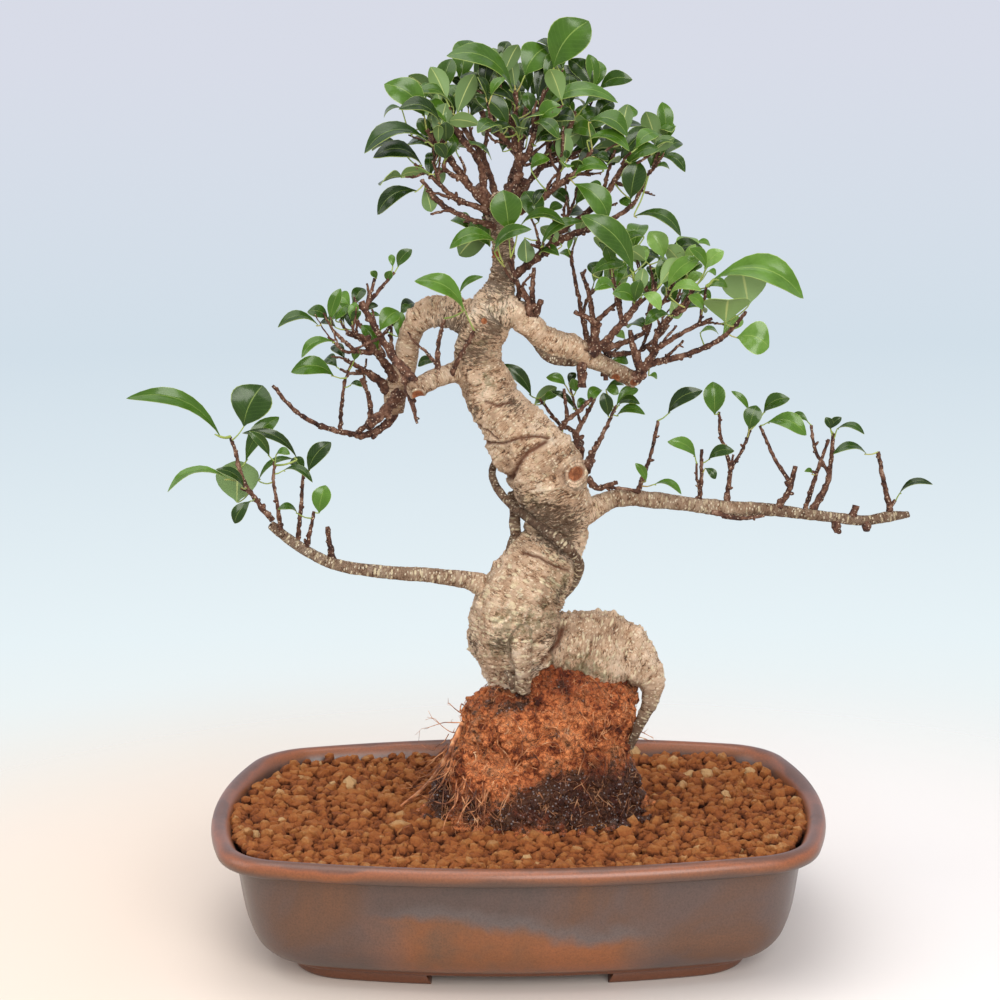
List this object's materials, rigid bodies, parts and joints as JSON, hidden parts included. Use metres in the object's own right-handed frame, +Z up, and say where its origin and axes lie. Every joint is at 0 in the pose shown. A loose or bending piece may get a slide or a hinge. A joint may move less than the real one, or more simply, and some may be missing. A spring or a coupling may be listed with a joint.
{
  "type": "potted bonsai tree",
  "caption": "Ficus bonsai with a curved trunk on a raised root ball, spread limbs and small glossy leaves, in an oval footed bowl of granular soil.",
  "frame": {"origin": "middle of the bounding box at the level of the feet's undersides", "axes": "+Z up, +X to the right and -Y towards the viewer of the front, the pot's long side along X"},
  "size_m": [0.4604, 0.2728, 0.5313],
  "materials": {
    "pot": "semi-matt brown and blue-grey glaze",
    "screen": "matt black mesh",
    "soil": "matt brown-orange baked clay granules",
    "peat": "matt fibrous rust-coloured peat and roots",
    "bark": "matt grey-tan bark",
    "leaf": "glossy dark green leaf"
  },
  "bodies": {
    "root": {"pot": "pot", "drain_screen_left": "screen", "drain_screen_right": "screen", "soil": "soil", "root_ball": "peat", "trunk": "bark", "crown_far_left_low": "leaf", "crown_far_left": "leaf", "crown_left": "leaf", "crown_left_top": "leaf", "crown_left_back": "leaf", "crown_centre": "leaf", "crown_back": "leaf", "crown_right": "leaf", "crown_right_front": "leaf", "crown_right_end": "leaf", "crown_right_tip": "leaf", "crown_low_front": "leaf", "crown_low_right": "leaf", "crown_low_back": "leaf", "crown_under_right": "leaf", "right_back": "leaf", "right_front": "leaf", "right_middle": "leaf", "right_upper": "leaf", "right_big_leaf": "leaf", "right_tip": "leaf", "right_behind": "leaf", "left_knob": "leaf", "left_fan": "leaf", "left_back": "leaf", "left_low_fan": "leaf", "left_low_shoot": "leaf", "left_middle": "leaf", "left_middle_right": "leaf", "low_left_tip": "leaf", "low_left_shoot_1": "leaf", "low_left_shoot_2": "leaf", "low_left_shoot_3": "leaf", "low_right_a": "leaf", "low_right_b": "leaf", "low_right_c": "leaf", "low_right_d": "leaf", "low_right_e": "leaf", "low_right_e_front": "leaf", "low_right_f": "leaf", "middle_a": "leaf", "middle_b": "leaf", "middle_c": "leaf", "middle_low": "leaf"}
  },
  "joints": []
}
